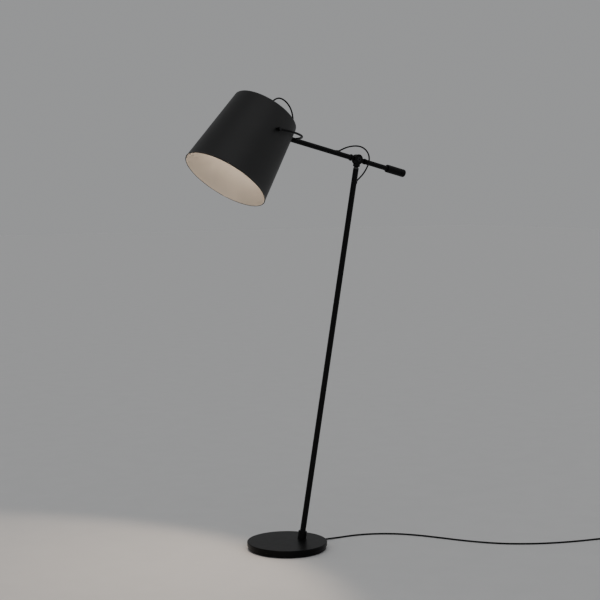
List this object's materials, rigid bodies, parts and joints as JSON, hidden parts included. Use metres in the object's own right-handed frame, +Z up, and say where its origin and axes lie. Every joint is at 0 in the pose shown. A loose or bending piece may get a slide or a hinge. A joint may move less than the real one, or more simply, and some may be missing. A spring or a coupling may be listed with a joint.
{
  "type": "adjustable arm floor lamp",
  "caption": "Floor lamp with a leaning pole on a round weighted base and a conical shade in a yoke on a tilting, counterweighted arm.",
  "frame": {"origin": "on the floor, under the centre of the round base", "axes": "+Z up; the lamp stands in the plane Y = 0 with its shade toward -X and its counterweight and mains cord toward +X"},
  "size_m": [1.5379, 0.8482, 1.5803],
  "materials": {
    "pole_paint": "satin black powder coat",
    "shade_paint": "satin black paint outside, warm white paint inside",
    "ballast_iron": "raw casting",
    "pad_rubber": "matt",
    "grommet_rubber": "matt",
    "black_steel": "blackened steel",
    "zinc_steel": "zinc plated",
    "bush_plastic": "moulded",
    "cable_sheath": "soft round sheath",
    "cord_tie": "moulded",
    "switch_plastic": "fine moulded texture",
    "plug_plastic": "fine moulded texture",
    "plug_pins": "nickel plated",
    "holder_plastic": "moulded",
    "holder_ceramic": "glazed",
    "contact_brass": "bright",
    "bulb_cap": "bright",
    "bulb_glass": "frosted inside"
  },
  "bodies": {
    "stand": {"ballast_screws": "zinc_steel", "base_ballast": "ballast_iron", "base_cover": "pole_paint", "base_pad": "pad_rubber", "collar_screw": "black_steel", "cord_coil": "cable_sheath", "cord_run": "cable_sheath", "cord_tail": "cable_sheath", "cord_tie": "cord_tie", "foot_fasteners": "zinc_steel", "foot_nipple": "zinc_steel", "foot_plug": "zinc_steel", "hub_cable_lower": "cable_sheath", "inner_lead": "cable_sheath", "plug_body": "plug_plastic", "plug_pins": "plug_pins", "plug_tail": "cable_sheath", "pole_collar": "pole_paint", "pole_grommet": "grommet_rubber", "pole_top_bush": "bush_plastic", "pole_tube": "pole_paint", "strain_relief": "grommet_rubber", "switch_base": "switch_plastic", "switch_cover": "switch_plastic", "switch_screws": "zinc_steel", "swivel_washer": "bush_plastic"},
    "swivel": {"swivel_fork": "pole_paint", "swivel_fasteners": "zinc_steel", "tilt_fasteners": "black_steel", "friction_washers": "bush_plastic"},
    "arm": {"arm_knuckle": "pole_paint", "arm_collar_front": "pole_paint", "arm_collar_rear": "pole_paint", "arm_tube_front": "pole_paint", "arm_tube_rear": "pole_paint", "arm_end_fitting": "pole_paint", "arm_grommet": "grommet_rubber", "arm_lead": "cable_sheath", "counterweight": "pole_paint", "counterweight_cap": "pole_paint", "counterweight_screw": "black_steel", "yoke": "pole_paint", "hub_cable_upper": "cable_sheath", "head_cable": "cable_sheath"},
    "shade": {"shade_shell": "shade_paint", "pivot_nuts": "zinc_steel", "pivot_screws": "black_steel", "pivot_spacers": "black_steel", "pivot_washers": "black_steel", "holder_cap": "holder_plastic", "holder_contacts": "contact_brass", "holder_insert": "holder_ceramic", "holder_nipple": "zinc_steel", "holder_nut": "zinc_steel", "holder_ring": "holder_plastic", "holder_skirt": "holder_plastic", "cord_grip": "holder_plastic", "bulb_cap": "bulb_cap", "bulb_glass": "bulb_glass"},
    "foot_button": {"foot_button": "switch_plastic"}
  },
  "joints": [
    {"name": "swivel", "type": "hinge", "parent": "stand", "child": "swivel", "pos_m": [0.31204, 0, 1.35772], "axis": [0.1831, 0, 0.9831], "range_deg": [-60, 60], "deforming": ["hub_cable_lower"]},
    {"name": "arm_tilt", "type": "hinge", "parent": "swivel", "child": "arm", "pos_m": [0.31204, 0, 1.35772], "axis": [0, 1, 0], "range_deg": [-40, 40], "deforming": ["hub_cable_upper"]},
    {"name": "shade_tilt", "type": "hinge", "parent": "arm", "child": "shade", "pos_m": [-0.13467, 0, 1.44956], "axis": [0, 1, 0], "range_deg": [-40, 65], "deforming": ["head_cable"]},
    {"name": "foot_button_press", "type": "slide", "parent": "stand", "child": "foot_button", "axis": [0, 0, -1], "range_m": [0, 0.003], "stiffness_N_per_m": 800}
  ]
}
